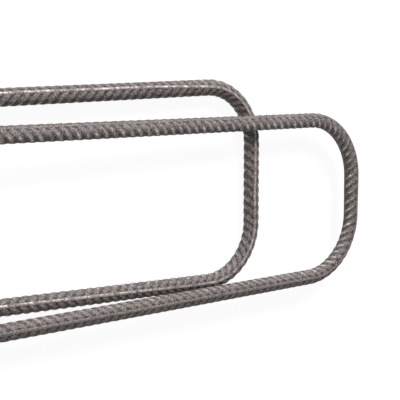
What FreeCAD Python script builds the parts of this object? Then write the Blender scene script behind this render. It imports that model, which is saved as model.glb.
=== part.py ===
"""Two rebar stirrups lying flat as a small bundle, the upper one resting on the lower one.

Each stirrup is one bar bent cold into a closed rectangle. From a hook at one corner it runs along a
long side, round the plain short side, back along the other long side, down the second short side and
into a hook at the corner where it began. Both hooks turn 135 degrees round that corner, one above the
other, so the closed loop can't be flat: seen from the plain short side, the first half stays level
and the second half climbs by a little more than the bar's diameter. Each half is flat in itself, and
the two planes meet along the plain short side.

Frame: millimetres, +Z up, the floor at Z = 0. The long sides run along X, the plain short sides are
towards +X and the hooks towards -X. The origin is on the floor under the middle of the bundle.
The ribs of the bar are fine relief and are left out: the bar is its nominal round section here.
"""
import FreeCAD, Part
import math
import os
import Sketcher

doc = FreeCAD.newDocument("rebar_stirrups")

# ---------------------------------------------------------------- driving dimensions
sheet = doc.addObject("Spreadsheet::Sheet", "dimensions")

DIMENSIONS = [
    # alias, value, what it is
    ("bar_diameter", 10.0, "nominal diameter of the bar"),
    ("lower_length", 450.0, "lower stirrup, outside to outside of the short sides"),
    ("lower_width", 141.0, "lower stirrup, outside to outside of the long sides, at the plain end"),
    ("lower_bend_inside", 33.0, "lower stirrup, inside radius of its plain corners"),
    ("lower_overbend", 1.7, "degrees beyond square at its plain corners: the long sides close in"),
    ("upper_length", 450.0, "upper stirrup, outside to outside of the short sides"),
    ("upper_width", 124.0, "upper stirrup, outside to outside of the long sides, at the plain end"),
    ("upper_bend_inside", 38.0, "upper stirrup, inside radius of its plain corners"),
    ("upper_overbend", 0.0, "degrees beyond square at its plain corners"),
    ("hook_inside", 20.0, "inside radius of a hook: a mandrel of four bar diameters"),
    ("hook_turn", 135.0, "degrees that a hook turns through"),
    ("hook_tail", 75.0, "straight end of the bar beyond each hook"),
    ("rib_clearance", 0.8, "gap that the ribs keep between two bars that touch"),
    ("shift_along", 92.0, "how far the upper stirrup lies towards +X of the lower one"),
    ("side_step", 6.7, "how far its long side lies outside the lower one's, at the plain end"),
    ("upper_roll", 0.32, "degrees about X that the upper stirrup tilts where it rests"),
    ("upper_pitch", 0.49, "degrees about Y, with the hooks higher"),
    ("upper_yaw", 0.23, "degrees about Z that it lies askew"),
]
DERIVED = [
    # alias, formula, what it is: all along the bar's centreline
    ("hook_radius", "hook_inside + bar_diameter / 2", "radius of a hook"),
]
for name in ("lower", "upper"):
    DERIVED += [
        (name + "_bend", name + "_bend_inside + bar_diameter / 2", "radius of a plain corner"),
        (name + "_half_leg", "({0}_width - bar_diameter) / 2 - {0}_bend".format(name),
         "half of the straight run of the plain short side"),
        (name + "_first_run",
         "({0}_length - bar_diameter - {0}_bend - hook_radius - ({0}_bend - hook_radius)"
         " * sin({0}_overbend)) / cos({0}_overbend)".format(name),
         "straight run of the long side that ends in the first hook"),
        (name + "_second_run",
         "({0}_length - bar_diameter - 2 * {0}_bend) / cos({0}_overbend)".format(name),
         "straight run of the other long side"),
        (name + "_hook_leg",
         "2 * {0}_half_leg + ({0}_bend - hook_radius) * cos({0}_overbend)"
         " - ({0}_first_run + {0}_second_run) * sin({0}_overbend)".format(name),
         "straight run of the short side that ends in the second hook, on the first hook's axis"),
        (name + "_climb",
         "atan((bar_diameter + rib_clearance) / ({0}_length - bar_diameter - hook_radius))".format(name),
         "angle at which the second half climbs, to pass over the first hook"),
    ]

rows = [(alias, str(value), meaning) for alias, value, meaning in DIMENSIONS]
rows += [(alias, "=" + formula, meaning) for alias, formula, meaning in DERIVED]
for row, (alias, content, meaning) in enumerate(rows, start=1):
    sheet.set("A%d" % row, alias)
    sheet.set("B%d" % row, content)
    sheet.setAlias("B%d" % row, alias)
    sheet.set("C%d" % row, meaning)
doc.recompute()


def size(alias):
    """The value of one cell: millimetres, or degrees for an angle."""
    value = sheet.get(alias)
    return float(getattr(value, "Value", value))


# ---------------------------------------------------------------- the bent bar
START, END = 1, 2
SKETCH_ORIGIN = (-1, 1)


def origin_plane(body, role):
    """One of the three planes of the body's own origin."""
    return next(plane for plane in body.Origin.OriginFeatures if plane.Role == role)


def new_sketch(body, name, role):
    """An empty sketch on one of the body's origin planes."""
    sketch = body.newObject("Sketcher::SketchObject", name)
    sketch.AttachmentSupport = (origin_plane(body, role), [""])
    sketch.MapMode = "FlatFace"
    return sketch


def bind(sketch, constraint, alias):
    """Adds a driving dimension to the sketch and ties it to its cell of the spreadsheet."""
    number = sketch.addConstraint(constraint)
    sketch.setExpression("Constraints[%d]" % number, "dimensions." + alias)


def toward(angle, distance):
    """The step of a given length in a direction given in degrees."""
    turn = math.radians(angle)
    return FreeCAD.Vector(math.cos(turn), math.sin(turn), 0) * distance


def centreline(body, name, heading, steps):
    """Sketches the bar's centreline from the sketch's origin, setting out at a heading in degrees.

    A step is ("run", alias of its length) or ("bend", alias of its radius, degrees turned to the left).
    """
    sketch = new_sketch(body, name, "XY_Plane")
    point = FreeCAD.Vector(0, 0, 0)
    before = None
    for step in steps:
        kind, alias = step[:2]
        if kind == "run":
            target = point + toward(heading, size(alias))
            piece = sketch.addGeometry(Part.LineSegment(point, target))
            entry, leave = START, END
            bind(sketch, Sketcher.Constraint("Distance", piece, size(alias)), alias)
        else:
            turn = step[2]
            side = 90 if turn > 0 else -90
            centre = point + toward(heading + side, size(alias))
            first = heading - side
            circle = Part.Circle(centre, FreeCAD.Vector(0, 0, 1), size(alias))
            low, high = sorted((first, first + turn))
            piece = sketch.addGeometry(Part.ArcOfCircle(circle, math.radians(low), math.radians(high)))
            entry, leave = (START, END) if turn > 0 else (END, START)
            bind(sketch, Sketcher.Constraint("Radius", piece, size(alias)), alias)
            target = centre + toward(first + turn, size(alias))
            heading += turn
        if before is None:
            sketch.addConstraint(Sketcher.Constraint("Coincident", piece, entry, *SKETCH_ORIGIN))
        else:
            sketch.addConstraint(Sketcher.Constraint("Tangent", *before, piece, entry))
        if kind == "run" and heading % 180 == 0:
            sketch.addConstraint(Sketcher.Constraint("Horizontal", piece))
        elif kind == "run" and heading % 180 == 90:
            sketch.addConstraint(Sketcher.Constraint("Vertical", piece))
        elif kind == "run":
            sketch.addConstraint(Sketcher.Constraint("Angle", piece, math.radians(heading % 360)))
        before = (piece, leave)
        point = target
    return sketch


def sweep_bar(body, name, section, spine):
    """Sweeps the bar's section along one half of its centreline."""
    pipe = body.newObject("PartDesign::AdditivePipe", name)
    pipe.Profile = section
    pipe.Spine = spine
    return pipe


def stirrup(name):
    """One stirrup, with the middle of its plain short side at the origin; gives body and centrelines."""
    body = doc.addObject("PartDesign::Body", "stirrup_" + name)
    body.Label = "stirrup_" + name
    section = new_sketch(body, name + "_section", "XZ_Plane")
    circle = Part.Circle(FreeCAD.Vector(0, 0, 0), FreeCAD.Vector(0, 0, 1), size("bar_diameter") / 2)
    round_bar = section.addGeometry(circle)
    section.addConstraint(Sketcher.Constraint("Coincident", round_bar, 3, *SKETCH_ORIGIN))
    bind(section, Sketcher.Constraint("Diameter", round_bar, size("bar_diameter")), "bar_diameter")

    hook_turn = size("hook_turn")
    overbend = size(name + "_overbend")
    level = centreline(body, name + "_level_half", -90, [
        ("run", name + "_half_leg"),
        ("bend", name + "_bend", -90 - overbend),
        ("run", name + "_first_run"),
        ("bend", "hook_radius", -hook_turn),
        ("run", "hook_tail"),
    ])
    climbing = centreline(body, name + "_climbing_half", 90, [
        ("run", name + "_half_leg"),
        ("bend", name + "_bend", 90 + overbend),
        ("run", name + "_second_run"),
        ("bend", name + "_bend", 90 - overbend),
        ("run", name + "_hook_leg"),
        ("bend", "hook_radius", hook_turn),
        ("run", "hook_tail"),
    ])
    about_y = FreeCAD.Rotation(FreeCAD.Vector(0, 1, 0), size(name + "_climb"))
    climbing.AttachmentOffset = FreeCAD.Placement(FreeCAD.Vector(0, 0, 0), about_y)
    climbing.setExpression("AttachmentOffset.Rotation.Angle", "dimensions.%s_climb" % name)
    doc.recompute()
    sweep_bar(body, name + "_level_bar", section, level)
    sweep_bar(body, name + "_climbing_bar", section, climbing)
    doc.recompute()
    return body, [level, climbing]


# ---------------------------------------------------------------- the bundle
def centrelines_at(sketches, placement):
    """The two halves of a stirrup's centreline where a placement puts them."""
    lines = Part.makeCompound([sketch.Shape for sketch in sketches])
    lines.Placement = placement
    return lines


def resting_height(resting, support, pose, clearance):
    """The height at which one centreline, let down from above, comes that close to the other."""
    touching = support.BoundBox.ZMin
    free = support.BoundBox.ZMax + 2 * clearance
    for _ in range(30):
        middle = (touching + free) / 2
        gap = centrelines_at(resting, pose(middle)).distToShape(support)[0]
        if gap < clearance:
            touching = middle
        else:
            free = middle
    return free


lower, lower_lines = stirrup("lower")
upper, upper_lines = stirrup("upper")

lower.Placement = FreeCAD.Placement(FreeCAD.Vector(0, 0, size("bar_diameter") / 2), FreeCAD.Rotation())

across = (size("upper_width") - size("lower_width")) / 2 - size("side_step")
tilt = FreeCAD.Rotation(size("upper_yaw"), size("upper_pitch"), size("upper_roll"))


def upper_pose(height):
    """Where the upper stirrup lies when the middle of its plain short side is at a height."""
    return FreeCAD.Placement(FreeCAD.Vector(size("shift_along"), across, height), tilt)


height = resting_height(upper_lines, centrelines_at(lower_lines, lower.Placement), upper_pose,
                        size("bar_diameter") + size("rib_clearance"))
upper.Placement = upper_pose(height)
doc.recompute()

bounds = Part.makeCompound([lower.Shape, upper.Shape]).optimalBoundingBox(False)
to_origin = FreeCAD.Vector(-bounds.Center.x, -bounds.Center.y, 0)
for body in (lower, upper):
    body.Placement = FreeCAD.Placement(body.Placement.Base + to_origin, body.Placement.Rotation)
doc.recompute()

# ---------------------------------------------------------------- checks and export
for item in doc.Objects:
    if "Invalid" in item.State or "Error" in item.State:
        raise RuntimeError("%s failed: %s" % (item.Label, item.State))

os.makedirs("parts", exist_ok=True)
section_area = math.pi * size("bar_diameter") ** 2 / 4
for body, lines in ((lower, lower_lines), (upper, upper_lines)):
    shape = body.Shape
    if shape.isNull() or not shape.isValid() or len(shape.Solids) != 1:
        raise RuntimeError(body.Label + " is not one sound solid")
    bar_length = sum(line.Shape.Length for line in lines)
    if abs(shape.Volume / (section_area * bar_length) - 1) > 0.001:
        raise RuntimeError(body.Label + " has lost or gained bar")
    shape.exportStep("parts/%s.step" % body.Label)
    box = shape.optimalBoundingBox(False)
    print("%s: bar %.1f mm long, %.1f x %.1f x %.1f mm, lowest at %.2f"
          % (body.Label, bar_length, box.XLength, box.YLength, box.ZLength, box.ZMin))
print("gap between the stirrups %.2f mm" % lower.Shape.distToShape(upper.Shape)[0])
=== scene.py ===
# %% [markdown]
# # Two ribbed steel stirrups
# A stirrup is a loop of reinforcing bar. It is bent cold around pins from one straight bar, and it
# ties the main bars of a concrete beam together. Here two of them lie flat, one on the other.
#
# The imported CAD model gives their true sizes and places, with a plain round bar. This script gives
# each one the surface that a rolled bar really has: two long ribs, two rows of slanting ribs, grey
# mill scale and a few rubbed places. Lengths are metres and +Z is up, as in the CAD model.

import math

import bmesh
import bpy
import numpy as np
from mathutils import Matrix, Vector


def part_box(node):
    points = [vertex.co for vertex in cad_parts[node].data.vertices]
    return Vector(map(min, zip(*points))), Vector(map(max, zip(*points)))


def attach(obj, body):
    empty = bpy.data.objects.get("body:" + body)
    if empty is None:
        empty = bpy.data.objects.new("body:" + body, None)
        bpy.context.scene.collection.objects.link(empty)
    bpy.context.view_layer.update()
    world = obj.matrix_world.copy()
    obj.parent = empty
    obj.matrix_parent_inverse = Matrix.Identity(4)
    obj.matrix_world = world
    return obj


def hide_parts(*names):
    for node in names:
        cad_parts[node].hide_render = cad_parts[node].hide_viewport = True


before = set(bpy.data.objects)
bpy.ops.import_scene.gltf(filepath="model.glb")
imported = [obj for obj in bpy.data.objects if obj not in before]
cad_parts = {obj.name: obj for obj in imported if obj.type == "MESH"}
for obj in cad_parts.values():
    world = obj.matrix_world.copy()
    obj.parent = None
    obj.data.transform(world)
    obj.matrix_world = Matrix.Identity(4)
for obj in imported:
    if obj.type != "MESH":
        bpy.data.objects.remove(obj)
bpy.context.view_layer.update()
MM = 0.001
print("CAD nodes:", sorted(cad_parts))

# %% [markdown]
# ## The bar
# A 10 mm ribbed bar isn't a 10 mm cylinder. Its core is a little thinner, and its ribs stand a
# little outside, so that it weighs as much as a plain 10 mm bar. A rolling mill presses the ribs in
# with two grooved rolls. Where the rolls meet, a long rib is left on each side of the bar. Each roll
# cuts a row of slanting ribs that are highest half-way between the long ribs and fade out beside
# them, like crescents.

# %% The bar's section and ribs
BAR = 10.0 * MM
CORE_RADIUS = 4.94 * MM
CRESCENT_HEIGHT = 0.52 * MM
CRESCENT_PITCH = 6.3 * MM
CRESCENT_SLANT = 0.78  # how far a rib runs along the bar for each length that it runs round it
LONG_RIB_HEIGHT = 0.45 * MM
print("over the crescents: %.1f mm" % ((CORE_RADIUS + CRESCENT_HEIGHT) * 2 / MM))

# %% [markdown]
# ## The path of the bar
# The bar's centreline is straight runs joined by round bends, so it can be walked: go straight, turn
# on a radius, go straight again. The walk starts at the free end of the first hook and ends at the
# free end of the second. The same few sizes as in the CAD model drive it. The overbend is how far a
# plain corner is bent past square, in degrees: the long sides then close in towards the hooks.

# %% The sizes of the two stirrups
HOOK_RADIUS = 25.0 * MM
HOOK_TURN = 135.0
HOOK_TAIL = 75.0 * MM
RIB_CLEARANCE = 0.8 * MM

# The bend is the centreline's radius, the tilt is in degrees about X, Y and Z, and the last value is
# how strongly handling and a painted highlight brighten the long ribs, from 0 to 1.
STIRRUPS = {
    "lower": {"length": 450 * MM, "width": 141 * MM, "bend": 38 * MM, "overbend": 1.7,
              "tilt": (0, 0, 0), "rib_wear_and_highlight": 0.88},
    "upper": {"length": 450 * MM, "width": 124 * MM, "bend": 43 * MM, "overbend": 0.0,
              "tilt": (0.32, 0.49, 0.23), "rib_wear_and_highlight": 0.6},
}


def stirrup_steps(sizes):
    """The runs and bends between the free ends: (kind, length or radius, degrees to the left)."""
    long_side = sizes["length"] - BAR
    bend = sizes["bend"]
    overbend = sizes["overbend"]
    tip, flat = math.sin(math.radians(overbend)), math.cos(math.radians(overbend))
    short_run = sizes["width"] - BAR - 2 * bend
    first_run = (long_side - bend - HOOK_RADIUS - (bend - HOOK_RADIUS) * tip) / flat
    second_run = (long_side - 2 * bend) / flat
    hook_leg = short_run + (bend - HOOK_RADIUS) * flat - (first_run + second_run) * tip
    return [
        ("run", HOOK_TAIL, 0),
        ("bend", HOOK_RADIUS, HOOK_TURN),
        ("run", first_run, 0),
        ("bend", bend, 90 + overbend),
        ("run", short_run, 0),
        ("bend", bend, 90 + overbend),
        ("run", second_run, 0),
        ("bend", bend, 90 - overbend),
        ("run", hook_leg, 0),
        ("bend", HOOK_RADIUS, HOOK_TURN),
        ("run", HOOK_TAIL, 0),
    ]


def bar_length(steps):
    """The whole length of the bar along its centreline."""
    return sum(size if kind == "run" else size * math.radians(turn) for kind, size, turn in steps)


for name, sizes in STIRRUPS.items():
    print(name, "bar is %.0f mm long" % (bar_length(stirrup_steps(sizes)) / MM))


# %% Walk along the steps
def along(steps, distance, heading):
    """Points and headings (radians) in the flat plane at an array of distances along the steps."""
    point = np.zeros(2)
    places = np.zeros((len(distance), 2))
    headings = np.zeros(len(distance))
    walked = 0.0
    for number, (kind, size, turn) in enumerate(steps):
        angle = math.radians(turn)
        span = size if kind == "run" else size * angle
        last = number == len(steps) - 1
        here = (distance >= walked) & ((distance < walked + span) | last)
        part = distance[here] - walked
        if kind == "run":
            ahead = np.array([math.cos(heading), math.sin(heading)])
            places[here] = point + part[:, None] * ahead
            headings[here] = heading
            point = point + size * ahead
        else:
            centre = point + size * np.array([-math.sin(heading), math.cos(heading)])
            turned = heading + part / size
            places[here] = centre + size * np.stack([np.sin(turned), -np.cos(turned)], axis=1)
            headings[here] = turned
            heading += angle
            point = centre + size * np.array([math.sin(heading), -math.cos(heading)])
        walked += span
    return places, headings


hook = stirrup_steps(STIRRUPS["lower"])[:2]
hook_end = along(hook, np.array([bar_length(hook)]), 0.0)[0][0]
print("a hook reaches %.0f mm ahead and %.0f mm aside" % tuple(hook_end / MM))

# %% [markdown]
# ## A ribbed bar from one grid
# A grid is the simplest mesh to roll up: one direction runs along the bar, the other round it. Its
# rows aren't evenly spaced. They gather at the foot and the crest of each rib, so that few rows give
# a crisp rib. The rows also slant with the ribs: a row lies further along the bar the further round
# it is from the first long rib, which makes the herringbone that such bars show at a long rib.

# %% Where the rows and columns of the grid lie
# Each row is a place in one pitch and the height of a slanting rib there, both from 0 to 1.
ROWS_IN_PITCH = [(0.00, 0.0), (0.10, 0.05), (0.19, 0.45), (0.30, 0.90),
                 (0.44, 1.0), (0.60, 0.86), (0.76, 0.45), (0.90, 0.07)]
# Each column is an angle round the bar, in degrees from the first long rib.
HALF_COLUMNS = [0, 7.5, 14.5, 20, 28, 38, 49, 62, 76, 90,
                104, 118, 131, 142, 152, 160, 165.5, 172.5, 180]
COLUMNS = HALF_COLUMNS + [360 - angle for angle in reversed(HALF_COLUMNS[:-1])]
print("grid:", len(ROWS_IN_PITCH), "rows for each slanting rib,", len(COLUMNS) - 1, "faces round")

# %% The height of the ribs round the bar
CRESCENT_END = 12     # degrees from a long rib at which a crescent fades out
CRESCENT_FULLNESS = 0.6
LONG_RIB_FOOT = 14.5  # degrees to each side
LONG_RIB_FLANK = 7
FOOT_PLACE = 22       # degrees from a long rib at which dust and painted shade gather most
FOOT_WIDTH = 9


def from_long_rib(angle):
    """How far a place is from the nearer of the two long ribs, in degrees."""
    return np.abs((angle + 90) % 180 - 90)


def crescent(angle):
    """The height of a slanting rib, from 0 to 1: zero at the long ribs, 1 half-way."""
    away = np.abs((angle + 180) % 360 - 180)
    share = np.clip((away - CRESCENT_END) / (180 - 2 * CRESCENT_END), 0, 1)
    return np.sin(np.pi * share) ** CRESCENT_FULLNESS


def long_rib(angle):
    """The height of the two long ribs, from 0 to 1."""
    return np.clip((LONG_RIB_FOOT - from_long_rib(angle)) / LONG_RIB_FLANK, 0, 1)


def foot(angle):
    """How near a place is to the foot of a long rib, from 0 to 1."""
    return np.exp(-((from_long_rib(angle) - FOOT_PLACE) / FOOT_WIDTH) ** 2)


print("heights at 45 degrees: crescent %.2f, long rib %.2f" % (crescent(45), long_rib(45)))

# %% [markdown]
# ## Bent, tilted and closed
# Each point of the grid is placed by its distance along the bar, its radius and its angle round it,
# so the ribs follow the bends as they do on a bar that is bent after it is rolled. The second half
# of a stirrup climbs a little, as in the CAD model, so that its hook passes over the first one. The
# upper stirrup is also tilted, because it leans on the lower one.


# %% Bend, climb and tilt
def bent_bar(sizes, distance, radius, around):
    """Places on a bent bar, from distance along it, radius from its centre and angle round it."""
    steps = stirrup_steps(sizes)
    heading = -math.radians(HOOK_TURN + sizes["overbend"])
    plain_side = bar_length(steps[:4]) + steps[4][1] / 2
    middle = along(steps, np.array([plain_side]), heading)[0]
    places, headings = along(steps, distance, heading)
    places = places - middle
    outward = radius * np.cos(around)
    upward = radius * np.sin(around)
    flat_x = places[:, 0] + outward * np.sin(headings)
    flat_y = places[:, 1] - outward * np.cos(headings)
    climb = math.atan((BAR + RIB_CLEARANCE) / (sizes["length"] - BAR - HOOK_RADIUS))
    climb = np.where(distance > plain_side, climb, 0.0)
    return np.stack([flat_x * np.cos(climb) + upward * np.sin(climb), flat_y,
                     upward * np.cos(climb) - flat_x * np.sin(climb)], axis=1)


def tilted(points, tilt):
    """Turns points by a tilt about X, then Y, then Z, in degrees."""
    roll, pitch, yaw = (math.radians(angle) for angle in tilt)
    turn = Matrix.Rotation(yaw, 3, "Z") @ Matrix.Rotation(pitch, 3, "Y")
    turn = turn @ Matrix.Rotation(roll, 3, "X")
    return points @ np.array(turn).T


# %% Close the bar
WELD = 0.002 * MM


def close_bar(name, mesh):
    """Joins the grid's seam, fills the two sawn ends, and gives the finished object."""
    shell = bmesh.new()
    shell.from_mesh(mesh)
    bmesh.ops.remove_doubles(shell, verts=shell.verts, dist=WELD)
    bmesh.ops.dissolve_degenerate(shell, dist=WELD, edges=shell.edges)
    open_edges = [edge for edge in shell.edges if edge.is_boundary]
    ends = bmesh.ops.holes_fill(shell, edges=open_edges, sides=0)["faces"]
    bmesh.ops.recalc_face_normals(shell, faces=shell.faces)
    for face in shell.faces:
        face.smooth = True
    for face in ends:
        face.smooth = False
    print(name, "bar has", len(ends), "sawn ends")
    shell.to_mesh(mesh)
    shell.free()
    piece = bpy.data.objects.new("ribbed_stirrup_" + name, mesh)
    bpy.context.scene.collection.objects.link(piece)
    return piece


# %% [markdown]
# ## The two stirrups
# A bar is also twisted a little along its length, as bars are once they have been coiled,
# straightened and bent. So the place of the first long rib round the bar is given at a few shares of
# its length, and changes slowly in between. Zero degrees points out of the loop, and 90 degrees up.
#
# The attribute "crest" tells the steel where it is: 1 on a crest, 0 in a hollow, and less than 0 in
# the pockets at the foot of a long rib.

# %% Make one stirrup
LINE_POINTS = 2000  # points on the centreline, to find its box
# How far the pockets beside a long rib are darkened, by dust and painted shade.
POCKET_DEPTH = 0.45


def make_stirrup(name, sizes, slant, twist):
    """Rolls a grid into a ribbed bar, bends it along its centreline and puts it in place."""
    length = bar_length(stirrup_steps(sizes))
    overhang = abs(slant) * math.pi * CORE_RADIUS + CRESCENT_PITCH
    pitches = math.ceil((length + 2 * overhang) / CRESCENT_PITCH)
    rows = np.array([((number + place) * CRESCENT_PITCH - overhang, height)
                     for number in range(pitches) for place, height in ROWS_IN_PITCH])

    # The grid is one unit square, so a vertex's place tells its row and its column.
    grid = bmesh.new()
    bmesh.ops.create_grid(grid, x_segments=len(rows) - 1, y_segments=len(COLUMNS) - 1, size=0.5)
    mesh = bpy.data.meshes.new("ribbed_bar_" + name)
    grid.to_mesh(mesh)
    grid.free()
    flat = np.zeros(len(mesh.vertices) * 3)
    mesh.vertices.foreach_get("co", flat)
    flat = flat.reshape(-1, 3)
    row = np.rint((flat[:, 0] + 0.5) * (len(rows) - 1)).astype(int)
    column = np.rint((flat[:, 1] + 0.5) * (len(COLUMNS) - 1)).astype(int)

    angle = np.array(COLUMNS, float)[column]
    from_first = np.abs((angle + 180) % 360 - 180)
    distance = rows[row, 0] + slant * np.radians(from_first) * CORE_RADIUS
    inside = (distance > 0) & (distance < length)
    distance = np.clip(distance, 0, length)
    slanting = rows[row, 1] * crescent(angle) * inside
    height = np.maximum(slanting * CRESCENT_HEIGHT, long_rib(angle) * LONG_RIB_HEIGHT * inside)
    stations = [share * length for share, _ in twist]
    roll = np.interp(distance, stations, [degrees for _, degrees in twist])
    around = np.radians(angle + roll)

    # The middle of the centreline's box goes to the middle of the CAD node's box.
    points = tilted(bent_bar(sizes, distance, CORE_RADIUS + height, around), sizes["tilt"])
    line = np.linspace(0, length, LINE_POINTS)
    line = tilted(bent_bar(sizes, line, 0 * line, 0 * line), sizes["tilt"])
    low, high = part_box("stirrup_" + name)
    points += np.array((low + high) / 2) - (line.min(0) + line.max(0)) / 2
    mesh.vertices.foreach_set("co", points.ravel())

    # The crest value also places the painted highlight on crests and long ribs, and the painted
    # shade in hollows and pockets.
    crest = mesh.attributes.new("crest", "FLOAT", "POINT")
    crest_wear_and_highlight = np.maximum(slanting, sizes["rib_wear_and_highlight"] * long_rib(angle))
    pocket = (1 - rows[row, 1]) * foot(angle)
    crest.data.foreach_set("value", crest_wear_and_highlight - POCKET_DEPTH * pocket)

    piece = close_bar(name, mesh)
    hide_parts("stirrup_" + name)
    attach(piece, "root")
    return piece


# %% Both stirrups, with the twist of their bars
LOWER_TWIST = [(0.10, 128), (0.30, 106), (0.385, 88), (0.46, 101),
               (0.52, 92), (0.57, 64), (0.66, 56), (1.0, 51)]
UPPER_TWIST = [(0.10, 94), (0.39, 89), (0.46, 69), (0.53, 34), (1.0, 34)]
lower = make_stirrup("lower", STIRRUPS["lower"], CRESCENT_SLANT, LOWER_TWIST)
upper = make_stirrup("upper", STIRRUPS["upper"], -CRESCENT_SLANT, UPPER_TWIST)

# %% [markdown]
# ## Hot-rolled steel with mill scale
# The bar leaves the mill glowing, and a thin grey skin of iron oxide forms as it cools. That skin is
# called mill scale. It is duller than bare steel: part metal, part stone. Handling rubs the crests
# of the ribs brighter and smoother, and their colour also carries a painted highlight, on the long
# ribs too. The hollows between the ribs get dust and painted shade, most of all in the small pockets
# beside a long rib. Noise gives the skin its grain and patches, and the "crest" attribute says where
# the painted highlight and the painted shade go.


# %% Colours and a helper for nodes
def linear(hex_colour):
    """Turns an sRGB hex colour into the linear colour that a shader takes."""
    parts = [int(hex_colour[place:place + 2], 16) / 255 for place in (1, 3, 5)]
    return [part / 12.92 if part <= 0.04045 else ((part + 0.055) / 1.055) ** 2.4
            for part in parts] + [1.0]


def node(tree, kind, settings, links):
    """Adds a node, sets its properties and input values, and links other outputs to its inputs."""
    made = tree.nodes.new(kind)
    for key, value in settings.items():
        if isinstance(key, str) and hasattr(made, key):
            setattr(made, key, value)
        else:
            made.inputs[key].default_value = value
    for key, output in links.items():
        tree.links.new(output, made.inputs[key])
    return made


SCALE_DARK = linear("#3f3837")
SCALE_DARK_PATCH = linear("#4f4846")
SCALE_LIGHT = linear("#8d8481")
# Dark dust colour, which also paints the shade in the hollows between the ribs.
HOLLOW_DUST_AND_SHADE = linear("#1d1818")
# Light colour of handled crests, which also paints a highlight on them.
RUBBED_STEEL_AND_HIGHLIGHT = linear("#cbc3bf")
print("lightest scale, linear: %.3f %.3f %.3f" % tuple(SCALE_LIGHT[:3]))

# %% The mill-scale material
GRAIN = 0.9 * MM
PATCH = 18 * MM
# Size of the patches where handling and a painted highlight lighten the crests.
WEAR_AND_HIGHLIGHT_SIZE = 3.5 * MM
PIT_DEPTH = 0.15 * MM


def hot_rolled_steel(name):
    """Dull grey scale with a crumbly grain, hollows dark with dust and painted shade, and crests
    lightened by handling and a painted highlight.
    """
    material = bpy.data.materials.new(name)
    material.use_nodes = True
    tree = material.node_tree
    tree.nodes.clear()
    place = node(tree, "ShaderNodeTexCoord", {}, {}).outputs["Object"]
    crest = node(tree, "ShaderNodeAttribute", {"attribute_name": "crest"}, {}).outputs["Fac"]

    # The skin's real grain is finer than a tenth of a millimetre: it is drawn coarser, so that it
    # shows. Noise keeps near 0.5, so a narrow range is stretched to the whole way from 0 to 1.
    grain = node(tree, "ShaderNodeTexNoise", {"Scale": 1 / GRAIN, "Detail": 3, "Roughness": 0.7},
                 {"Vector": place})
    grained = node(tree, "ShaderNodeMapRange", {"From Min": 0.40, "From Max": 0.60},
                   {"Value": grain.outputs[0]})
    patch = node(tree, "ShaderNodeTexNoise", {"Scale": 1 / PATCH, "Detail": 2}, {"Vector": place})
    patched = node(tree, "ShaderNodeMapRange", {"From Min": 0.38, "From Max": 0.62},
                   {"Value": patch.outputs[0]})
    dark = node(tree, "ShaderNodeMix", {"data_type": "RGBA", 6: SCALE_DARK, 7: SCALE_DARK_PATCH},
                {"Factor": patched.outputs[0]})
    skin = node(tree, "ShaderNodeMix", {"data_type": "RGBA", 7: SCALE_LIGHT},
                {"Factor": grained.outputs[0], 6: dark.outputs[2]})

    # Dust, thick scale and painted shade keep the hollows between the ribs dark.
    hollow = node(tree, "ShaderNodeMath", {"operation": "MULTIPLY_ADD", 1: 0.35},
                  {0: grained.outputs[0], 2: crest})
    hollow_shade_and_dust = node(tree, "ShaderNodeMapRange", {"From Min": 0.52, "From Max": -0.15, "To Max": 0.92},
                  {"Value": hollow.outputs[0]})
    dusty_and_shaded = node(tree, "ShaderNodeMix", {"data_type": "RGBA", 7: HOLLOW_DUST_AND_SHADE},
                 {"Factor": hollow_shade_and_dust.outputs[0], 6: skin.outputs[2]})

    # Handling scuffs the crests brighter, smoother and more metallic, here and there, and a painted
    # highlight lightens them further.
    wear_and_highlight_noise = node(tree, "ShaderNodeTexNoise", {"Scale": 1 / WEAR_AND_HIGHLIGHT_SIZE, "Detail": 3, "Roughness": 0.7},
                 {"Vector": place})
    wear_and_highlight_level = node(tree, "ShaderNodeMath", {"operation": "MULTIPLY_ADD", 1: 0.9},
                {0: crest, 2: wear_and_highlight_noise.outputs[0]})
    wear_and_highlight = node(tree, "ShaderNodeMapRange", {"From Min": 1.20, "From Max": 1.56},
                  {"Value": wear_and_highlight_level.outputs[0]})
    colour = node(tree, "ShaderNodeMix", {"data_type": "RGBA", 7: RUBBED_STEEL_AND_HIGHLIGHT},
                  {"Factor": wear_and_highlight.outputs[0], 6: dusty_and_shaded.outputs[2]})
    rough = node(tree, "ShaderNodeMapRange", {"To Min": 0.62, "To Max": 0.35},
                 {"Value": wear_and_highlight.outputs[0]})
    metal = node(tree, "ShaderNodeMapRange", {"To Min": 0.1, "To Max": 0.6},
                 {"Value": wear_and_highlight.outputs[0]})
    pits = node(tree, "ShaderNodeBump", {"Strength": 0.9, "Distance": PIT_DEPTH},
                {"Height": grain.outputs[0]})
    steel = node(tree, "ShaderNodeBsdfPrincipled", {"Specular IOR Level": 0.3},
                 {"Base Color": colour.outputs[2], "Roughness": rough.outputs[0],
                  "Metallic": metal.outputs[0], "Normal": pits.outputs[0]})
    node(tree, "ShaderNodeOutputMaterial", {}, {"Surface": steel.outputs[0]})
    print(material.name, "has", len(tree.nodes), "nodes")
    return material


scale_steel = hot_rolled_steel("hot_rolled_steel_mill_scale")
for piece in (lower, upper):
    piece.data.materials.append(scale_steel)

# %% [markdown]
# ## Floor
# The stirrups lie on a large flat sheet. What the camera and reflections see of it is lifted almost
# to white, and lamplight does the rest, so a soft shadow still shows. Its own colour is a grey, so
# that little light comes back from it and the undersides of the bars stay dark. It lies just below
# the lowest rib.

# %% White floor
FLOOR_SIZE = 12.0
FLOOR_LIFT = 0.94
FLOOR_GAP = 0.05 * MM


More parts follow.
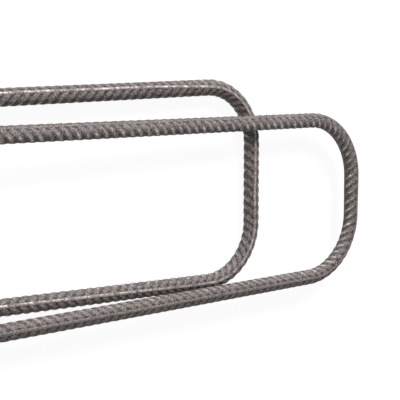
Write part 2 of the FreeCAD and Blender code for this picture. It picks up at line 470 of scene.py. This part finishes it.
def seen_directly(tree):
    """1 for what the camera, a reflection or a clear body shows, and 0 for light on the object."""
    path = node(tree, "ShaderNodeLightPath", {}, {}).outputs
    seen = node(tree, "ShaderNodeMath", {"operation": "MAXIMUM"},
                {0: path["Is Camera Ray"], 1: path["Is Glossy Ray"]})
    seen = node(tree, "ShaderNodeMath", {"operation": "MAXIMUM"},
                {0: path["Is Transmission Ray"], 1: seen.outputs[0]})
    return seen.outputs[0]


def white_floor(name, size, height):
    """A large flat sheet that looks white to the camera and in reflections, and keeps shadows."""
    sheet = bmesh.new()
    bmesh.ops.create_grid(sheet, x_segments=1, y_segments=1, size=size / 2,
                          matrix=Matrix.Translation((0, 0, height)))
    mesh = bpy.data.meshes.new(name)
    sheet.to_mesh(mesh)
    sheet.free()
    floor = bpy.data.objects.new(name, mesh)
    bpy.context.scene.collection.objects.link(floor)
    material = bpy.data.materials.new("matt_white_paper")
    material.use_nodes = True
    tree = material.node_tree
    tree.nodes.clear()
    lift = node(tree, "ShaderNodeMath", {"operation": "MULTIPLY", 1: FLOOR_LIFT},
                {0: seen_directly(tree)})
    paper = node(tree, "ShaderNodeBsdfDiffuse", {"Color": linear("#5a5a5a")}, {})
    glow = node(tree, "ShaderNodeEmission", {}, {"Strength": lift.outputs[0]})
    both = node(tree, "ShaderNodeAddShader", {}, {0: paper.outputs[0], 1: glow.outputs[0]})
    node(tree, "ShaderNodeOutputMaterial", {}, {"Surface": both.outputs[0]})
    mesh.materials.append(material)


floor_height = -(CORE_RADIUS + CRESCENT_HEIGHT - BAR / 2) - FLOOR_GAP
white_floor("studio_floor", FLOOR_SIZE, floor_height)
print("floor is %.2f mm below the plain bars" % (-floor_height / MM))

# %% [markdown]
# ## Light and camera
# One large lamp lights the bars from the back, so their tops are lighter than the sides towards the
# viewer, and a weak one lights them along their length. A dim white room softens both. The camera
# looks down on the plain ends, from above the hooks, and is rolled so that the long sides run across
# the view.

# %% Room and lamps
ROOM_LIGHT = 0.14
scene = bpy.context.scene
scene.view_settings.view_transform = "Standard"
world = bpy.data.worlds.new("soft_white_room")
scene.world = world
world.use_nodes = True
tree = world.node_tree
tree.nodes.clear()
strength = node(tree, "ShaderNodeMapRange", {"To Min": ROOM_LIGHT, "To Max": 1.0},
                {"Value": seen_directly(tree)})
room = node(tree, "ShaderNodeBackground", {"Color": (1, 1, 1, 1)},
            {"Strength": strength.outputs["Result"]})
node(tree, "ShaderNodeOutputWorld", {}, {"Surface": room.outputs[0]})


def aim(thing, place, target, roll):
    """Puts a lamp or camera at a place, looking at a target, turned by roll degrees."""
    direction = (Vector(target) - Vector(place)).normalized()
    upright = direction.to_track_quat("-Z", "Y").to_matrix()
    turned = upright @ Matrix.Rotation(math.radians(roll), 3, "Z")
    thing.matrix_world = Matrix.Translation(place) @ turned.to_4x4()


def softbox(name, place, power, size):
    """A square lamp that faces the middle of the bundle."""
    lamp = bpy.data.lights.new(name, "AREA")
    lamp.energy = power
    lamp.size = size
    thing = bpy.data.objects.new(name, lamp)
    scene.collection.objects.link(thing)
    aim(thing, place, (0, 0, 0), 0)
    print("lamp", name, power, "W")


softbox("key_light", (0.52, 1.14, 0.88), 30.0, 0.45)
softbox("side_light", (-1.0, 0.30, 0.45), 5.0, 0.5)

# %% Camera
CAMERA_PLACE = (-0.2562, 0.0754, 0.5082)
CAMERA_TARGET = (0.1253, -0.0041, 0.010)
CAMERA_ROLL = 99.22
camera_data = bpy.data.cameras.new("camera")
camera_data.sensor_width = 36.0
camera_data.lens = 86.08
camera = bpy.data.objects.new("camera", camera_data)
scene.collection.objects.link(camera)
aim(camera, CAMERA_PLACE, CAMERA_TARGET, CAMERA_ROLL)
scene.camera = camera
away = (Vector(CAMERA_TARGET) - Vector(CAMERA_PLACE)).length
print("camera is %.2f m from what it looks at" % away)
